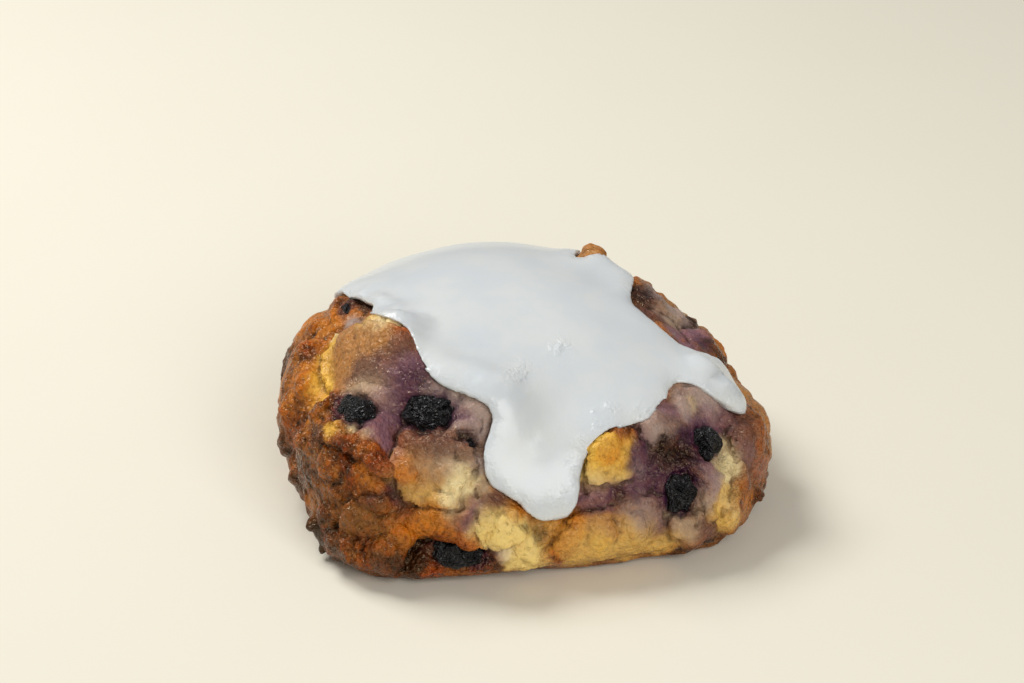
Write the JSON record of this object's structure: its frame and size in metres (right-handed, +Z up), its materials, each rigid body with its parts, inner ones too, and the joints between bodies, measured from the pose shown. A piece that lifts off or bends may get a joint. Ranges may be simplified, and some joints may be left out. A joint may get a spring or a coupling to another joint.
{
  "type": "glazed blueberry cookie",
  "caption": "Soft domed cookie with whole blueberries baked into a browned crust and thick white glaze running down its front and side.",
  "frame": {"origin": "middle of the flat underside's level, under the middle of the bounding box", "axes": "+Z up, +X to the right along the longest width, -Y towards the front that the glaze runs down"},
  "size_m": [0.0822, 0.077, 0.036],
  "materials": {
    "dough": "rough baked crust",
    "glaze": "smooth, wet-looking",
    "berry": "wrinkled skin"
  },
  "bodies": {
    "root": {"dough": "dough", "glaze": "glaze", "berry_1": "berry", "berry_2": "berry", "berry_3": "berry", "berry_4": "berry", "berry_5": "berry", "berry_6": "berry", "berry_7": "berry", "berry_8": "berry", "berry_9": "berry", "berry_10": "berry", "berry_11": "berry", "berry_12": "berry", "berry_13": "berry", "berry_14": "berry"}
  },
  "joints": []
}
